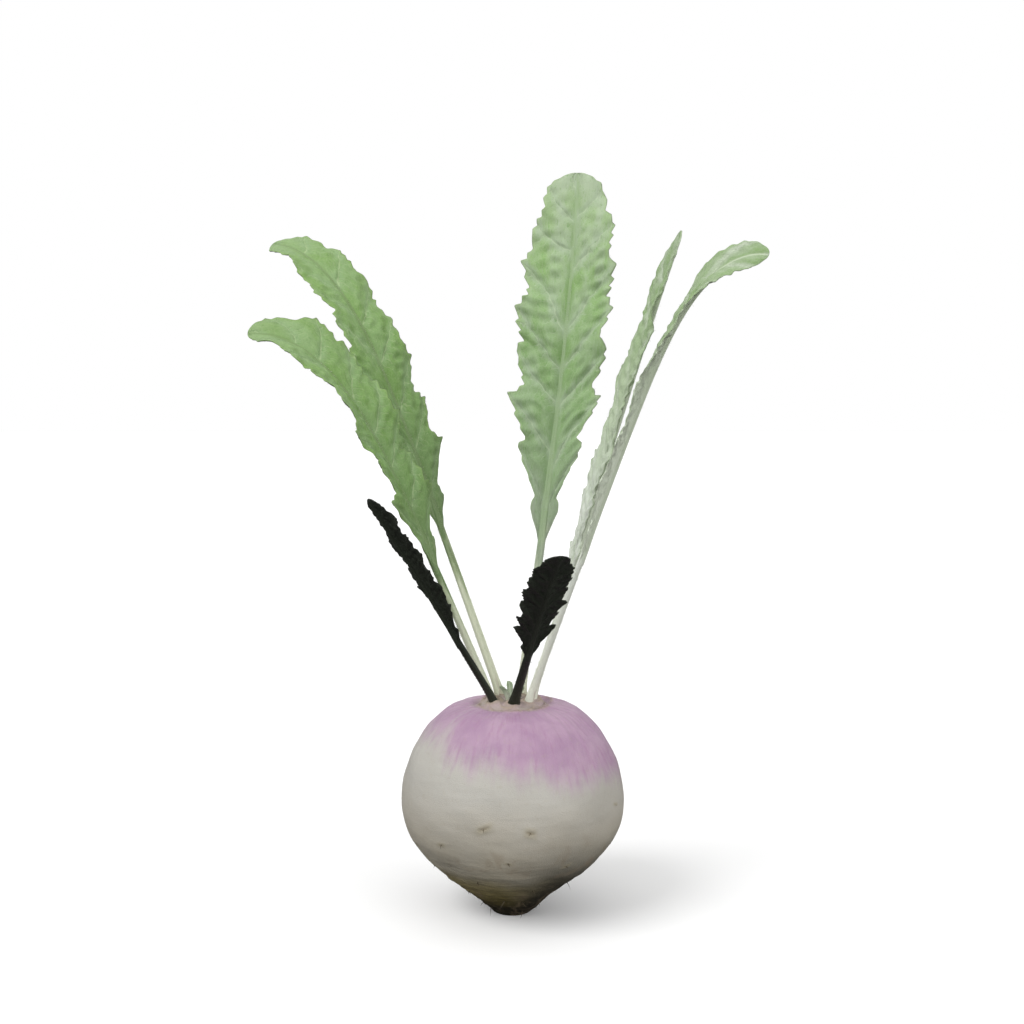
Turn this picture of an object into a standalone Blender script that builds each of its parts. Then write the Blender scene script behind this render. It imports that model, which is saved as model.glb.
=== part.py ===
"""A purple-topped turnip with its leaves on, standing on the trimmed end of its root.

The origin is the centre of the small flat spot that the root stands on, and +Z is up.
The front is the side seen when looking along +Y.
"""

import math
from collections import namedtuple

import bmesh
import bpy
from mathutils import Matrix, Vector

MM = 0.001

# The root, as a profile of (radius, height) from the middle of its crown out over the
# shoulder and down to the flat spot.
ROOT_SIDES = 48
RINGS_PER_SPAN = 2
FOOT_RADIUS = 7.5 * MM
CROWN_HEIGHT = 82.5 * MM
ROOT_PROFILE = (
    (0.0, CROWN_HEIGHT),
    (6.0 * MM, CROWN_HEIGHT),
    (10.5 * MM, CROWN_HEIGHT - 0.7 * MM),
    (12.5 * MM, CROWN_HEIGHT - 2.0 * MM),
    (17.0 * MM, CROWN_HEIGHT - 1.3 * MM),
    (25.5 * MM, 78.6 * MM),
    (34.0 * MM, 70.4 * MM),
    (40.0 * MM, 59.0 * MM),
    (42.5 * MM, 46.0 * MM),
    (40.5 * MM, 34.5 * MM),
    (34.2 * MM, 24.3 * MM),
    (25.6 * MM, 16.0 * MM),
    (16.9 * MM, 9.1 * MM),
    (11.2 * MM, 3.8 * MM),
    (FOOT_RADIUS, 0.0),
    (0.0, 0.0),
)
# The root isn't quite round. Each swell: share of the radius, waves round it, turn in degrees.
SWELLS = ((0.011, 2, 35.0), (0.009, 3, 110.0), (0.006, 5, 20.0))

# Every leaf is one body, a stalk that runs on as the rib under a thin toothed blade.
CROWN_RING = 6.0 * MM
ROOTED = 2.2 * MM
SOCKET_GAP = 0.6 * MM
SOCKET_CORNERS = 0.5
STALK_HALF = 2.0 * MM
STALK_THICK = 3.0 * MM
BLADE_THICK = 0.8 * MM
# By the tip of the leaf the rib has shrunk to these shares of the stalk.
RIB_TIP_WIDTH = 0.28
RIB_TIP_THICK = 0.38
# Across each half of a leaf run the middle of its rib, the rib's edge, the half blade's middle
# and its edge. The stalk's thickness at those four columns rounds its underside.
RIB_EDGE = 0.7
STALK_SECTION = (1.0, 0.75, 0.55, 0.3)
SIDE_COLUMNS = len(STALK_SECTION) - 1
STALK_ROWS = 8
TEETH = 8
ROWS_PER_TOOTH = 3
BLADE_ROWS = TEETH * ROWS_PER_TOOTH
MIDRIB_STEPS = 160
# How squarely the blade comes to its full width, and how blunt its tip is.
SPREAD_POWER = 6
TIP_POWER = 6
TIP_HALF = 0.9 * MM
# The teeth's shape, and how deep they are cut: by the tip, and added by the stalk.
TOOTH_PEAK = 0.67
TIP_CUT = 0.13
STALK_CUT = 0.5
# The blade's edge points forward along the leaf, and waves up and down.
FORWARD_SWEEP = 0.75
WAVES = 3.5
WAVE_HEIGHT = 1.7 * MM
WAVE_STARTS = {1: 1.1, -1: 2.9}

# place: where the stalk stands round the crown, degrees from +X. heading: the way it leans.
# lean and arch: degrees from upright at the crown, and more by the tip. late: how late along
# the leaf the arch and the curl come. sway: turn of the heading by the tip. stalk: its share of
# the length. spread: the share of the blade over which it widens from the stalk. roll and curl:
# turn of the blade about its rib, all along and by the tip. fold: degrees that each half of the
# blade rises from flat.
Leaf = namedtuple(
    "Leaf",
    "name place heading lean arch late sway length stalk spread width roll curl fold skin",
)
LEAVES = (
    Leaf("leaf_back", 66, 57, 15.4, 6, 6, 24, 0.217, 0.27, 0.28, 44 * MM, 4, 0, 16, "leaf_pale"),
    Leaf("leaf_right", 11, 358, 17.4, 3, 6, 0, 0.187, 0.24, 0.12, 34 * MM, 7, 0, 6, "leaf_pale"),
    Leaf("leaf_right_low", 320, 336, 21.2, 84, 9, 9, 0.197, 0.3, 0.3, 31 * MM, 8, 50, 5, "leaf_pale"),
    Leaf("leaf_left", 120, 142, 25.6, 64, 6, 5, 0.226, 0.3, 0.2, 36 * MM, 0, -35, 8, "leaf_green"),
    Leaf("leaf_left_low", 168, 175, 24, 76, 6, 5, 0.177, 0.3, 0.2, 34 * MM, -22, -22, 18, "leaf_green"),
    Leaf("leaf_front_left", 216, 200, 32, 4, 6, 0, 0.094, 0.3, 0.2, 20 * MM, 12, 0, 8, "leaf_dark"),
    Leaf("leaf_front_right", 270, 289, 38, 12, 6, 0, 0.081, 0.34, 0.2, 19 * MM, 0, 0, 8, "leaf_dark"),
)

# Each skin's colour and roughness.
SKINS = {
    "root_skin": ((0.55, 0.49, 0.44), 0.42),
    "leaf_green": ((0.20, 0.33, 0.11), 0.55),
    "leaf_pale": ((0.30, 0.40, 0.19), 0.55),
    "leaf_dark": ((0.02, 0.03, 0.015), 0.5),
}


def clear_scene():
    for obj in list(bpy.data.objects):
        bpy.data.objects.remove(obj)


def collection(name):
    made = bpy.data.collections.new(name)
    bpy.context.scene.collection.children.link(made)
    return made


def material(name):
    colour, roughness = SKINS[name]
    made = bpy.data.materials.get(name) or bpy.data.materials.new(name)
    made.use_nodes = True
    shader = made.node_tree.nodes["Principled BSDF"]
    shader.inputs["Base Color"].default_value = (*colour, 1.0)
    shader.inputs["Roughness"].default_value = roughness
    shader.inputs["Metallic"].default_value = 0.0
    made.diffuse_color = (*colour, 1.0)
    return made


def object_from(bm, name, group, skin=None):
    mesh = bpy.data.meshes.new(name)
    bm.to_mesh(mesh)
    bm.free()
    obj = bpy.data.objects.new(name, mesh)
    group.objects.link(obj)
    if skin:
        mesh.materials.append(material(skin))
    return obj


def smooth_outline(points, spans):
    """Points along a Catmull-Rom curve through the given ones, spans between each pair."""
    ends = (points[0], *points, points[-1])
    outline = []
    for a, b, c, d in zip(ends, ends[1:], ends[2:], ends[3:]):
        for step in range(spans):
            t = step / spans
            outline.append(tuple(
                0.5 * (2 * q + (r - p) * t + (2 * p - 5 * q + 4 * r - s) * t**2
                       + (3 * q - p - 3 * r + s) * t**3)
                for p, q, r, s in zip(a, b, c, d)
            ))
    return outline + [points[-1]]


def root_rings():
    """The profile's rings: smooth down to the foot, with a crisp edge round the flat spot."""
    return smooth_outline(ROOT_PROFILE[:-1], RINGS_PER_SPAN) + [ROOT_PROFILE[-1]]


def swell(turn, height):
    """How far the root stands out of round there, fading out at its crown and its foot."""
    share = max(0.0, min(1.0, height / CROWN_HEIGHT))
    fade = math.sin(math.pi * share) ** 0.5
    return 1 + fade * sum(
        size * math.cos(waves * turn + math.radians(start)) for size, waves, start in SWELLS
    )


def make_root(group):
    """A sphere's rings, moved to the turned profile and swelled a little out of round."""
    rings = root_rings()
    last = len(rings) - 1
    bm = bmesh.new()
    bmesh.ops.create_uvsphere(bm, u_segments=ROOT_SIDES, v_segments=last, radius=1.0)
    for vert in bm.verts:
        ring = round(math.acos(max(-1.0, min(1.0, vert.co.z))) / math.pi * last)
        radius, height = rings[ring]
        turn = math.atan2(vert.co.y, vert.co.x)
        reach = radius * swell(turn, height)
        vert.co = (reach * math.cos(turn), reach * math.sin(turn), height)
    root = object_from(bm, "root", group, "root_skin")
    root.data.shade_smooth()
    return root


def heading_at(leaf, share):
    """The way the rib points at a share of the leaf's length, and the level way across it."""
    lean = math.radians(leaf.lean + leaf.arch * share**leaf.late)
    turn = math.radians(leaf.heading + leaf.sway * share**2)
    along = Vector((
        math.sin(lean) * math.cos(turn),
        math.sin(lean) * math.sin(turn),
        math.cos(lean),
    ))
    return along, Vector((-math.sin(turn), math.cos(turn), 0.0))


def leaf_foot(leaf):
    """Where the stalk's inner face leaves the crown."""
    place = math.radians(leaf.place)
    return Vector((
        CROWN_RING * math.cos(place),
        CROWN_RING * math.sin(place),
        CROWN_HEIGHT,
    ))


def midrib(leaf):
    """Points and axes along the leaf's inner face: (place, along, across, inward)."""
    along, _ = heading_at(leaf, 0.0)
    place = leaf_foot(leaf) - along * ROOTED
    step = (leaf.length + ROOTED) / MIDRIB_STEPS
    frames = []
    for index in range(MIDRIB_STEPS + 1):
        share = index / MIDRIB_STEPS
        along, level = heading_at(leaf, share)
        twist = min(1.0, share / leaf.stalk)
        roll = math.radians(leaf.roll * twist + leaf.curl * share**leaf.late)
        across = Matrix.Rotation(roll, 3, along) @ level
        frames.append((place.copy(), along, across, along.cross(across)))
        place += along * step
    return frames


def frame_at(frames, share):
    """The midrib's place and axes at any share of its length, between its steps."""
    at = max(0.0, min(1.0, share)) * MIDRIB_STEPS
    low = min(int(at), MIDRIB_STEPS - 1)
    between = at - low
    return [a.lerp(b, between) for a, b in zip(frames[low], frames[low + 1])]


def tooth(share):
    """0 in a notch and 1 on a tooth, which rises slowly and drops fast towards the tip."""
    at = share * TEETH % 1.0
    return at / TOOTH_PEAK if at <= TOOTH_PEAK else (1 - at) / (1 - TOOTH_PEAK)


def half_width(leaf, share):
    """The blade's half width at a share of its length, cut into teeth, deepest near the stalk."""
    widened = share / leaf.spread
    outline = widened / (1 + widened**SPREAD_POWER) ** (1 / SPREAD_POWER)
    outline *= math.sqrt(max(0.0, 1 - share**TIP_POWER))
    cut = TIP_CUT + STALK_CUT * (1 - share) ** 3
    return 0.5 * leaf.width * outline * (1 - cut * (1 - tooth(share)))


def leaf_point(leaf, frames, row, column):
    """One point of the leaf's upper face and its thickness there."""
    blade = max(0.0, (row - STALK_ROWS) / BLADE_ROWS)
    share = leaf.stalk + (1 - leaf.stalk) * blade if blade else leaf.stalk * row / STALK_ROWS
    rib = STALK_HALF * (1 - (1 - RIB_TIP_WIDTH) * share)
    wide = max(half_width(leaf, blade), rib, TIP_HALF)
    side = abs(column)
    reach = (0.0, RIB_EDGE * rib, 0.5 * (RIB_EDGE * rib + wide), wide)[side]
    beyond = max(0.0, reach - rib)

    sweep = FORWARD_SWEEP * beyond * (1 - blade) / leaf.length
    place, along, across, inward = frame_at(frames, share + sweep)
    hand = 1 if column > 0 else -1
    fold = math.radians(leaf.fold)
    wave = math.sin(2 * math.pi * WAVES * blade + WAVE_STARTS[hand])
    fullness = max(0.0, wide - rib) / (0.5 * leaf.width)
    rise = beyond * math.sin(fold) + WAVE_HEIGHT * wave * fullness * (side / SIDE_COLUMNS) ** 2
    out = reach - beyond * (1 - math.cos(fold))
    point = place + across * hand * out + inward * rise

    keel = STALK_THICK * (1 - (1 - RIB_TIP_THICK) * share)
    if blade and side:
        return point, BLADE_THICK
    return point, max(BLADE_THICK, keel * STALK_SECTION[side])


def make_leaf(leaf, group):
    """A grid laid along the midrib, split into triangles and thickened away from the axis."""
    rows = STALK_ROWS + BLADE_ROWS
    frames = midrib(leaf)
    bm = bmesh.new()
    bmesh.ops.create_grid(bm, x_segments=rows, y_segments=2 * SIDE_COLUMNS, size=1.0)
    bmesh.ops.triangulate(bm, faces=bm.faces[:], quad_method="FIXED")
    thickness = {}
    for vert in bm.verts:
        row = round((vert.co.x + 1) / 2 * rows)
        column = round(vert.co.y * SIDE_COLUMNS)
        vert.co, thickness[vert.index] = leaf_point(leaf, frames, row, column)
    obj = object_from(bm, leaf.name, group, leaf.skin)
    weights = obj.vertex_groups.new(name="thickness")
    for index, thick in thickness.items():
        weights.add([index], thick / STALK_THICK, "REPLACE")
    solidify = obj.modifiers.new("thickness", "SOLIDIFY")
    solidify.thickness = STALK_THICK
    solidify.offset = -1.0
    solidify.vertex_group = weights.name
    obj.data.shade_smooth()
    return obj


def cut_sockets(root, group):
    """A socket in the crown for each stalk's end, a round-cornered hole a little wider than it."""
    half_sizes = (STALK_HALF + SOCKET_GAP, STALK_THICK / 2 + SOCKET_GAP, ROOTED + SOCKET_GAP)
    for leaf in LEAVES:
        along, across = heading_at(leaf, 0.0)
        inward = along.cross(across)
        centre = leaf_foot(leaf) - inward * STALK_THICK / 2
        bm = bmesh.new()
        bmesh.ops.create_cone(
            bm, cap_ends=True, segments=16, radius1=1.0, radius2=1.0, depth=2.0,
        )
        for vert in bm.verts:
            for axis in (0, 1):
                vert.co[axis] = math.copysign(abs(vert.co[axis]) ** SOCKET_CORNERS, vert.co[axis])
        axes = Matrix((across, inward, along)).transposed().to_4x4()
        bm.transform(Matrix.Translation(centre) @ axes @ Matrix.Diagonal((*half_sizes, 1.0)))
        bmesh.ops.recalc_face_normals(bm, faces=bm.faces[:])
        cutter = object_from(bm, "socket_" + leaf.name, group)
        cutter.hide_render = True
        cutter.display_type = "WIRE"
        cut = root.modifiers.new(cutter.name, "BOOLEAN")
        cut.operation = "DIFFERENCE"
        cut.object = cutter


def main():
    clear_scene()
    turnip = collection("turnip")
    cutters = collection("cutters")
    root = make_root(turnip)
    cut_sockets(root, cutters)
    for leaf in LEAVES:
        make_leaf(leaf, turnip)


main()
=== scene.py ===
"""The looks of a purple-topped turnip: its root's skin, its leaves and a plain studio."""

import math
from collections import namedtuple

import bmesh
import bpy
import numpy as np
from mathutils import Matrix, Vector


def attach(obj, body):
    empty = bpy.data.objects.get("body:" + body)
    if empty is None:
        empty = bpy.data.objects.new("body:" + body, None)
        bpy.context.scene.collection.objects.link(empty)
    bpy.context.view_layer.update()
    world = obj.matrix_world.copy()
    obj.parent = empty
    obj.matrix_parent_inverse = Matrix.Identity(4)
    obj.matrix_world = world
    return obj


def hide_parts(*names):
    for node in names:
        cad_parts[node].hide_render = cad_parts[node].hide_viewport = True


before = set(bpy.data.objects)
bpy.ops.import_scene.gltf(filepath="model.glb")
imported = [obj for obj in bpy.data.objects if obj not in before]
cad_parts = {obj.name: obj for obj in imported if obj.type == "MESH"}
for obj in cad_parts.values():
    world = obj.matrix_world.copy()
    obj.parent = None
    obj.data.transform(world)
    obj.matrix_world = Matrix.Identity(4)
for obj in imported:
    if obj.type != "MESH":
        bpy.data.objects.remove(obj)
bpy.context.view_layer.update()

MM = 0.001
TURN = 2 * math.pi

# The root's profile, as (radius, height) from the middle of its crown down to its flat spot.
CROWN_HEIGHT = 82.5 * MM
FOOT_RADIUS = 7.5 * MM
ROOT_PROFILE = (
    (0.0, CROWN_HEIGHT),
    (6.0 * MM, CROWN_HEIGHT),
    (10.5 * MM, CROWN_HEIGHT - 0.7 * MM),
    (12.5 * MM, CROWN_HEIGHT - 2.0 * MM),
    (17.0 * MM, CROWN_HEIGHT - 1.3 * MM),
    (25.5 * MM, 78.6 * MM),
    (34.0 * MM, 70.4 * MM),
    (40.0 * MM, 59.0 * MM),
    (42.5 * MM, 46.0 * MM),
    (40.5 * MM, 34.5 * MM),
    (34.2 * MM, 24.3 * MM),
    (25.6 * MM, 16.0 * MM),
    (16.9 * MM, 9.1 * MM),
    (11.2 * MM, 3.8 * MM),
    (FOOT_RADIUS, 0.0),
)
ROOT_AROUND = 384
ROOT_RINGS = 250
PROFILE_STEPS = 40
# The root isn't quite round. Each swell: share of the radius, waves round it, turn in degrees.
SWELLS = ((0.011, 2, 35.0), (0.009, 3, 110.0), (0.006, 5, 20.0))
CROWN_ABOVE = 60 * MM

# How far each kind of relief stands out of the root's skin, in millimetres.
LUMPS = 0.30
SMALL_LUMPS = 0.10
FURROWS = 0.10
WRINKLES = 0.022
TIP_WRINKLES = 0.12
SLITS = -0.4
PATCHES = 0.16
OLD_LEAF_SCARS = 0.8
COLLARS = 1.3
CROWN_LUMPS = 0.26

# The purple's lower edge: its height at each turn round the root, degrees from +X.
PURPLE_EDGE = (
    (0, 57), (25, 60), (55, 54), (90, 58), (125, 52), (155, 60), (185, 68), (205, 71),
    (224, 69.5), (234, 63.5), (254, 63.5), (273, 61), (289, 57.5), (310, 56), (337, 55),
)
# Scars on the root: turn in degrees, height, width and depth in millimetres, and slope.
SCARS = (
    (256, 44.4, 5.2, 3.0, 0.4), (279, 43.2, 4.0, 3.4, -0.15), (231, 36, 3.4, 1.5, 0.1),
    (335, 47, 3.0, 1.1, -0.2), (205, 31, 5.0, 1.8, 0.1), (209, 23, 4.5, 1.7, -0.1),
    (203, 16, 3.6, 1.5, 0.0), (212, 11, 3.0, 1.4, 0.2), (24, 33, 5.2, 1.7, -0.1),
    (29, 26, 4.2, 1.6, 0.1), (22, 19, 4.0, 1.5, 0.0), (31, 13, 3.2, 1.4, -0.2),
    (118, 40, 4.6, 1.4, 0.2), (150, 49, 3.0, 1.2, -0.3), (80, 30, 4.2, 1.4, 0.1),
    (302, 28, 3.4, 1.3, 0.3), (60, 50, 3.0, 1.0, 0.2), (245, 20, 3.4, 1.3, -0.2),
    (345, 30, 2.8, 1.0, 0.2), (172, 38, 3.2, 1.1, 0.1), (268, 31, 2.6, 1.0, -0.2),
)
OLD_LEAVES = 16
OLD_LEAF_TURN = 0.381966
OLD_LEAF_SPREAD = 0.42
# The turn of the side with the olive soil stain; painted shade goes low on the opposite side.
SOIL_AND_SHADE_TURN = 218
FIBRES = 40
FIBRE_SLOPE = -0.25

# Every leaf is one stalk that runs on as the rib of its blade.
CROWN_RING = 6.0 * MM
ROOTED = 2.2 * MM
STALK_HALF = 2.0 * MM
STALK_THICK = 3.0 * MM
BLADE_THICK = 0.5 * MM
RIB_TIP_WIDTH = 0.28
RIB_TIP_THICK = 0.38
TEETH = 8
MIDRIB_STEPS = 160
SPREAD_POWER = 6
TIP_POWER = 6
TOOTH_PEAK = 0.67
TIP_CUT = 0.13
STALK_CUT = 0.5
FORWARD_SWEEP = 0.75
WAVES = 3.5
WAVE_HEIGHT = 1.7 * MM
WAVE_STARTS = (2.9, 1.1)

# These are as the solids have them. place, heading, lean, arch, sway, roll, curl and fold are
# degrees: place is the turn round the crown, and arch, sway and curl are what it gains by its
# tip, the arch and curl later with a higher late. stalk is a share of the length, and spread
# the share of the blade by which it is full wide. The last three are for the looks alone: how
# much of the edge's waves it has, how far its foot is from the crown's middle, and how thick
# its stalk is.
Leaf = namedtuple(
    "Leaf",
    "name place heading lean arch late sway length stalk spread width roll curl fold slot"
    " waviness ring girth",
    defaults=(1.0, CROWN_RING, 1.0),
)
LEAVES = (
    Leaf("leaf_back", 66, 57, 15.4, 6, 6, 24, 0.217, 0.27, 0.28, 44 * MM, 4, 0, 16, "leaf_pale"),
    Leaf("leaf_right", 11, 358, 17.4, 3, 6, 0, 0.187, 0.24, 0.12, 34 * MM, 7, 0, 6, "leaf_pale",
         0.45),
    Leaf("leaf_right_low", 320, 336, 21.2, 84, 9, 9, 0.197, 0.3, 0.3, 31 * MM, 8, 50, 5,
         "leaf_pale", 0.5),
    Leaf("leaf_left", 120, 142, 25.6, 64, 6, 5, 0.226, 0.3, 0.2, 36 * MM, 0, -35, 8, "leaf_green"),
    Leaf("leaf_left_low", 168, 175, 24, 76, 6, 5, 0.177, 0.3, 0.2, 34 * MM, -22, -22, 18,
         "leaf_green"),
    Leaf("leaf_front_left", 216, 200, 32, 4, 6, 0, 0.094, 0.3, 0.2, 20 * MM, 12, 0, 8,
         "leaf_dark", 0.5),
    Leaf("leaf_front_right", 270, 289, 38, 12, 6, 0, 0.081, 0.34, 0.2, 19 * MM, 0, 0, 8,
         "leaf_dark", 0.7),
)

# Young leaves in the middle of the crown, which the solids leave out.
BUDS = (
    Leaf("bud_tall", 110, 95, 8, 30, 2, 30, 0.0070, 0.2, 0.5, 3.6 * MM, 0, 0, 34, "leaf_green",
         0.5, 2.0 * MM, 0.36),
    Leaf("bud_left", 225, 215, 20, 30, 2, -20, 0.0070, 0.2, 0.3, 4.2 * MM, 0, 0, 40, "leaf_green",
         0.5, 1.8 * MM, 0.32),
    Leaf("bud_right", 335, 345, 16, 35, 2, 20, 0.0060, 0.2, 0.3, 3.6 * MM, 0, 0, 42, "leaf_green",
         0.5, 1.8 * MM, 0.30),
)

# The finer shape of a blade. Its heights are for a wide leaf, and shrink with the width.
WIDE_LEAF = 36 * MM
LEAF_GRID = (34, 340)
DARK_LEAF_GRID = (26, 230)
BUD_GRID = (12, 70)
RIB_COLUMNS_SHARE = 0.2
TIP_CROWDING = 1.25
TIP_END = 0.9985
RIB_SLIMMING = 0.3
VEIN_LEAD = 0.1
VEIN_SINK = 0.32 * MM
VEIN_RISE = 0.38 * MM
VEIN_HALF = 0.55 * MM
PUFF = 1.1 * MM
QUILT = 0.34 * MM
CRINKLE = 0.85 * MM
SMALL_CUT = 0.09
STALK_GROOVE = 0.45 * MM
RIB_RISE = 0.42 * MM
FOOT_FLARE = 0.5
FLARE_LENGTH = 5.5 * MM
HAIR_RADIUS = 0.042 * MM
HAIR_TAPER = 0.12
HAIRS = 2000
DARK_LEAF_HAIRS = 700
BUD_HAIRS = 120


def smoothstep(low, high, value):
    share = np.clip((value - low) / (high - low), 0.0, 1.0)
    return share * share * (3 - 2 * share)


def wobble(points, size, seed, waves=16):
    """A smooth random field over points, about -1 to 1, whose lumps are about size across."""
    rng = np.random.default_rng(seed)
    total = np.zeros(points.shape[:-1])
    for _ in range(waves):
        way = rng.normal(size=points.shape[-1])
        way *= TURN / (2 * size) * rng.uniform(0.7, 1.3) / np.linalg.norm(way)
        total += np.sin(points @ way + rng.uniform(0, TURN))
    return total / math.sqrt(waves)


def ball(name, around, rings):
    """A ball's mesh, with the ring and the turn, both 0 to 1, of each of its points."""
    bm = bmesh.new()
    bmesh.ops.create_uvsphere(bm, u_segments=around, v_segments=rings, radius=1.0)
    mesh = bpy.data.meshes.new(name)
    bm.to_mesh(mesh)
    bm.free()
    flat = np.empty(len(mesh.vertices) * 3, np.float32)
    mesh.vertices.foreach_get("co", flat)
    x, y, z = flat.reshape(-1, 3).astype(float).T
    ring = np.round(np.arccos(np.clip(z, -1, 1)) / math.pi * rings) / rings
    turn = np.round(np.arctan2(y, x) / TURN * around) % around / around
    return mesh, ring, turn


def place_points(mesh, points):
    mesh.vertices.foreach_set("co", points.astype(np.float32).ravel())
    mesh.shade_smooth()
    mesh.update()


def note(mesh, name, values):
    """Keeps a number or a direction for each point of a mesh, which its material reads."""
    values = np.asarray(values, np.float32)
    if values.ndim == 1:
        mesh.attributes.new(name, "FLOAT", "POINT").data.foreach_set("value", values)
    else:
        layer = mesh.attributes.new(name, "FLOAT_VECTOR", "POINT")
        layer.data.foreach_set("vector", values.ravel())


def add_piece(mesh, name, skin):
    piece = bpy.data.objects.new(name, mesh)
    bpy.context.scene.collection.objects.link(piece)
    mesh.materials.append(skin)
    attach(piece, "root")
    return piece


# The root

def profile_curve():
    """The root's profile, radius and height, at even steps along each of its spans."""
    points = np.array(ROOT_PROFILE)
    ends = np.vstack((points[:1], points, points[-1:]))
    t = (np.arange(PROFILE_STEPS) / PROFILE_STEPS)[:, None]
    spans = [
        0.5 * (2 * b + (c - a) * t + (2 * a - 5 * b + 4 * c - d) * t**2
               + (3 * b - a - 3 * c + d) * t**3)
        for a, b, c, d in zip(ends, ends[1:], ends[2:], ends[3:])
    ]
    return np.vstack(spans + [points[-1:], [[0.0, 0.0]]])


def turned_profile(ring):
    """Radius, height, run from the crown's middle, and outward slope at each ring."""
    curve = profile_curve()
    run = np.concatenate(([0.0], np.cumsum(np.linalg.norm(np.diff(curve, axis=0), axis=1))))
    at = ring * run[-1]
    ahead = np.minimum(at + 0.3 * MM, run[-1])
    behind = np.maximum(at - 0.3 * MM, 0.0)
    radius = np.interp(at, run, curve[:, 0])
    height = np.interp(at, run, curve[:, 1])
    d_radius = np.interp(ahead, run, curve[:, 0]) - np.interp(behind, run, curve[:, 0])
    d_height = np.interp(ahead, run, curve[:, 1]) - np.interp(behind, run, curve[:, 1])
    size = np.maximum(np.hypot(d_radius, d_height), 1e-9)
    return radius, height, at, -d_height / size, d_radius / size


def collars(points):
    """A low swollen ring on the crown round the foot of each stalk."""
    total = np.zeros(len(points))
    for leaf in LEAVES:
        foot = math.radians(leaf.place)
        centre = (CROWN_RING + 1.3 * MM) * np.array((math.cos(foot), math.sin(foot)))
        far = np.linalg.norm(points[:, :2] - centre, axis=1)
        total = np.maximum(total, np.exp(-((far - 0.9 * STALK_HALF) / (1.2 * MM)) ** 2))
    return total


def old_leaf_scars(radius, angle):
    """Crescent ridges round the crown, where older leaves have come off."""
    rng = np.random.default_rng(12)
    ridge = np.zeros_like(radius)
    for index in range(OLD_LEAVES):
        turn = TURN * (index * OLD_LEAF_TURN)
        middle = (11.0 + 4.6 * (index % 3) / 2 + rng.uniform(-0.6, 0.6)) * MM
        off = np.angle(np.exp(1j * (angle - turn)))
        bow = middle - 2.0 * MM * (off / OLD_LEAF_SPREAD) ** 2
        reach = np.exp(-(off / OLD_LEAF_SPREAD) ** 4)
        ridge = np.maximum(ridge, reach * np.exp(-((radius - bow) / (0.55 * MM)) ** 2))
    return ridge


def root_scars(angle, radius, height):
    """The slits where fine side roots grew, and the corky patches round them."""
    slit = np.zeros_like(height)
    patch = np.zeros_like(height)
    for turn, level, width, depth, slope in SCARS:
        off = np.angle(np.exp(1j * (angle - math.radians(turn)))) * radius
        rise = height - level * MM - slope * off
        x = off / (0.5 * width * MM)
        y = rise / (0.5 * depth * MM)
        slit = np.maximum(slit, np.exp(-((1.4 * x) ** 4) - (3.4 * y) ** 2))
        patch = np.maximum(patch, np.exp(-(0.8 * x) ** 4 - (0.8 * y) ** 4))
    return slit, patch


def make_root(skin):
    mesh, ring, turn = ball("root_skin", ROOT_AROUND, ROOT_RINGS)
    radius, height, run, out_level, out_up = turned_profile(ring)
    angle = turn * TURN
    share = np.clip(height / CROWN_HEIGHT, 0, 1)
    swell = 1 + np.sin(math.pi * share) ** 0.5 * sum(
        size * np.cos(waves * angle + math.radians(start)) for size, waves, start in SWELLS
    )
    around = np.stack((np.cos(angle), np.sin(angle)), axis=-1)
    smooth = np.column_stack((around * (radius * swell)[:, None], height))
    outward = np.column_stack((around * out_level[:, None], out_up))

    # Lumps all over, furrows from the crown and wrinkles round the tip.
    side = smoothstep(0.0, 3.0 * MM, height) * smoothstep(0.0, 5.0 * MM, radius)
    lumps = LUMPS * wobble(smooth, 17 * MM, 1) + SMALL_LUMPS * wobble(smooth, 6 * MM, 2)
    streak_way = np.column_stack((around * 30 * MM, run * 0.16))
    furrows = wobble(streak_way, 2.6 * MM, 3) + 0.7 * wobble(streak_way, 1.3 * MM, 4)
    shoulder = smoothstep(50 * MM, 74 * MM, height) * smoothstep(9 * MM, 20 * MM, radius)
    ring_way = np.column_stack((smooth[:, :2] * 0.22, height))
    wrinkles = wobble(ring_way, 1.5 * MM, 5) + 0.6 * wobble(ring_way, 0.8 * MM, 6)
    tip = 1 - smoothstep(8 * MM, 34 * MM, height)
    slit, patch = root_scars(angle, radius, height)
    on_top = height > CROWN_ABOVE
    scars = old_leaf_scars(radius * swell, angle) * on_top
    crown = 1 - smoothstep(9 * MM, 19 * MM, radius)
    crown = crown * on_top
    collar = collars(smooth) * on_top
    relief = (
        side * lumps + FURROWS * furrows * shoulder
        + (WRINKLES + TIP_WRINKLES * tip) * wrinkles * side
        + SLITS * slit + PATCHES * patch + OLD_LEAF_SCARS * scars + COLLARS * collar
        + CROWN_LUMPS * crown * wobble(smooth, 1.7 * MM, 7)
    )
    place_points(mesh, smooth + outward * (relief * MM)[:, None])

    turns, levels = np.array(PURPLE_EDGE, float).T
    turns = np.concatenate((turns, [360.0]))
    levels = np.concatenate((levels, levels[:1]))
    edge = np.interp(np.degrees(angle) % 360, turns, levels)
    note(mesh, "purple", height / MM - edge)
    note(mesh, "height", height / MM)
    note(mesh, "crown", crown)
    note(mesh, "scar", slit)
    note(mesh, "patch", patch)
    # 1 on the side with the olive soil stain, 0 on the opposite side, which takes painted shade.
    note(mesh, "soil_and_shade_side", 0.5 + 0.5 * np.cos(angle - math.radians(SOIL_AND_SHADE_TURN)))
    note(mesh, "ridge", np.maximum(scars, collar))
    note(mesh, "streak", streak_way / MM)
    note(mesh, "cut", (height < 0.01 * MM) * (1 - radius / FOOT_RADIUS))
    piece = add_piece(mesh, "root_skin", skin)
    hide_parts("root")


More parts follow.
